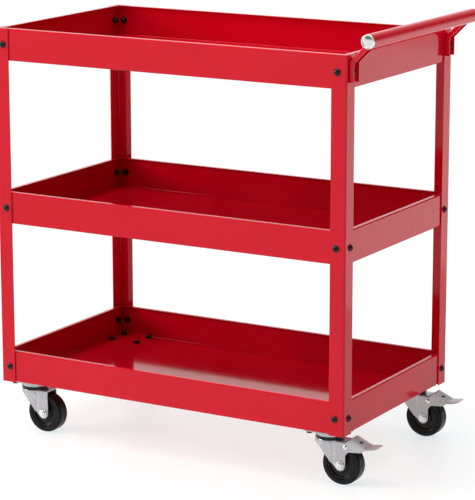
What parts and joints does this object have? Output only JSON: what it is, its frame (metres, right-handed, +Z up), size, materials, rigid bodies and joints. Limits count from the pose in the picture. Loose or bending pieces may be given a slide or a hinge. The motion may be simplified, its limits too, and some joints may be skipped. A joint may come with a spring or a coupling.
{
  "type": "tool cart",
  "caption": "Steel utility cart with stacked lipped trays on corner angle legs, a raised push handle at one end, swivel casters and foot brakes on the handle side.",
  "frame": {"origin": "middle of the overall box on the floor, under the wheels", "axes": "+X along the shelves towards the push handle, +Y across the cart towards its back side, +Z up"},
  "size_m": [0.7952, 0.4266, 0.8141],
  "materials": {
    "red_paint": "glossy powder coat",
    "zinc_steel": "bright zinc plate",
    "bright_bolt": "bright zinc plate",
    "cap_chrome": "polished",
    "black_bolt": "black oxide",
    "tyre_rubber": "smooth moulded",
    "hub_plastic": "moulded",
    "shoe_rubber": "moulded"
  },
  "bodies": {
    "frame": {"leg_front_left": "red_paint", "caster_plate_front_left": "zinc_steel", "bolt_bottom_front_left_side": "black_bolt", "bolt_bottom_front_left_end": "black_bolt", "bolt_middle_front_left_side": "black_bolt", "bolt_middle_front_left_end": "black_bolt", "bolt_top_front_left_side": "black_bolt", "bolt_top_front_left_end": "black_bolt", "leg_front_right": "red_paint", "caster_plate_front_right": "zinc_steel", "bolt_bottom_front_right_side": "black_bolt", "bolt_bottom_front_right_end": "black_bolt", "bolt_middle_front_right_side": "black_bolt", "bolt_middle_front_right_end": "black_bolt", "bolt_top_front_right_side": "black_bolt", "bolt_top_front_right_end": "black_bolt", "leg_back_left": "red_paint", "caster_plate_back_left": "zinc_steel", "bolt_bottom_back_left_side": "black_bolt", "bolt_bottom_back_left_end": "black_bolt", "bolt_middle_back_left_side": "black_bolt", "bolt_middle_back_left_end": "black_bolt", "bolt_top_back_left_side": "black_bolt", "bolt_top_back_left_end": "black_bolt", "leg_back_right": "red_paint", "caster_plate_back_right": "zinc_steel", "bolt_bottom_back_right_side": "black_bolt", "bolt_bottom_back_right_end": "black_bolt", "bolt_middle_back_right_side": "black_bolt", "bolt_middle_back_right_end": "black_bolt", "bolt_top_back_right_side": "black_bolt", "bolt_top_back_right_end": "black_bolt", "tray_bottom": "red_paint", "tray_middle": "red_paint", "tray_top": "red_paint", "handle_tube": "red_paint", "handle_bracket_front": "red_paint", "handle_cap_front": "cap_chrome", "handle_bracket_back": "red_paint", "handle_cap_back": "cap_chrome"},
    "caster_front_left": {"caster_fork_front_left": "zinc_steel", "axle_bolt_front_left": "bright_bolt"},
    "wheel_front_left": {"wheel_tyre_front_left": "tyre_rubber", "wheel_hub_front_left": "hub_plastic"},
    "caster_front_right": {"caster_fork_front_right": "zinc_steel", "axle_bolt_front_right": "bright_bolt"},
    "wheel_front_right": {"wheel_tyre_front_right": "tyre_rubber", "wheel_hub_front_right": "hub_plastic"},
    "caster_back_left": {"caster_fork_back_left": "zinc_steel", "axle_bolt_back_left": "bright_bolt"},
    "wheel_back_left": {"wheel_tyre_back_left": "tyre_rubber", "wheel_hub_back_left": "hub_plastic"},
    "caster_back_right": {"caster_fork_back_right": "zinc_steel", "axle_bolt_back_right": "bright_bolt"},
    "wheel_back_right": {"wheel_tyre_back_right": "tyre_rubber", "wheel_hub_back_right": "hub_plastic"},
    "brake_front_right": {"brake_pedal_front_right": "zinc_steel", "brake_shoe_front_right": "shoe_rubber"},
    "brake_back_right": {"brake_pedal_back_right": "zinc_steel", "brake_shoe_back_right": "shoe_rubber"}
  },
  "joints": [
    {"name": "swivel_front_left", "type": "hinge", "parent": "frame", "child": "caster_front_left", "pos_m": [-0.3443, -0.168, 0.09], "axis": [0, 0, 1], "continuous": true},
    {"name": "roll_front_left", "type": "hinge", "parent": "caster_front_left", "child": "wheel_front_left", "pos_m": [-0.3158, -0.168, 0.0375], "axis": [0, 1, 0], "continuous": true},
    {"name": "swivel_front_right", "type": "hinge", "parent": "frame", "child": "caster_front_right", "pos_m": [0.2957, -0.168, 0.09], "axis": [0, 0, 1], "continuous": true},
    {"name": "roll_front_right", "type": "hinge", "parent": "caster_front_right", "child": "wheel_front_right", "pos_m": [0.3242, -0.168, 0.0375], "axis": [0, 1, 0], "continuous": true},
    {"name": "swivel_back_left", "type": "hinge", "parent": "frame", "child": "caster_back_left", "pos_m": [-0.3443, 0.168, 0.09], "axis": [0, 0, 1], "continuous": true},
    {"name": "roll_back_left", "type": "hinge", "parent": "caster_back_left", "child": "wheel_back_left", "pos_m": [-0.3158, 0.168, 0.0375], "axis": [0, 1, 0], "continuous": true},
    {"name": "swivel_back_right", "type": "hinge", "parent": "frame", "child": "caster_back_right", "pos_m": [0.2957, 0.168, 0.09], "axis": [0, 0, 1], "continuous": true},
    {"name": "roll_back_right", "type": "hinge", "parent": "caster_back_right", "child": "wheel_back_right", "pos_m": [0.3242, 0.168, 0.0375], "axis": [0, 1, 0], "continuous": true},
    {"name": "brake_front_right", "type": "hinge", "parent": "caster_front_right", "child": "brake_front_right", "pos_m": [0.3357, -0.168, 0.073], "axis": [0, 1, 0], "range_deg": [0, 12]},
    {"name": "brake_back_right", "type": "hinge", "parent": "caster_back_right", "child": "brake_back_right", "pos_m": [0.3357, 0.168, 0.073], "axis": [0, 1, 0], "range_deg": [0, 12]}
  ]
}
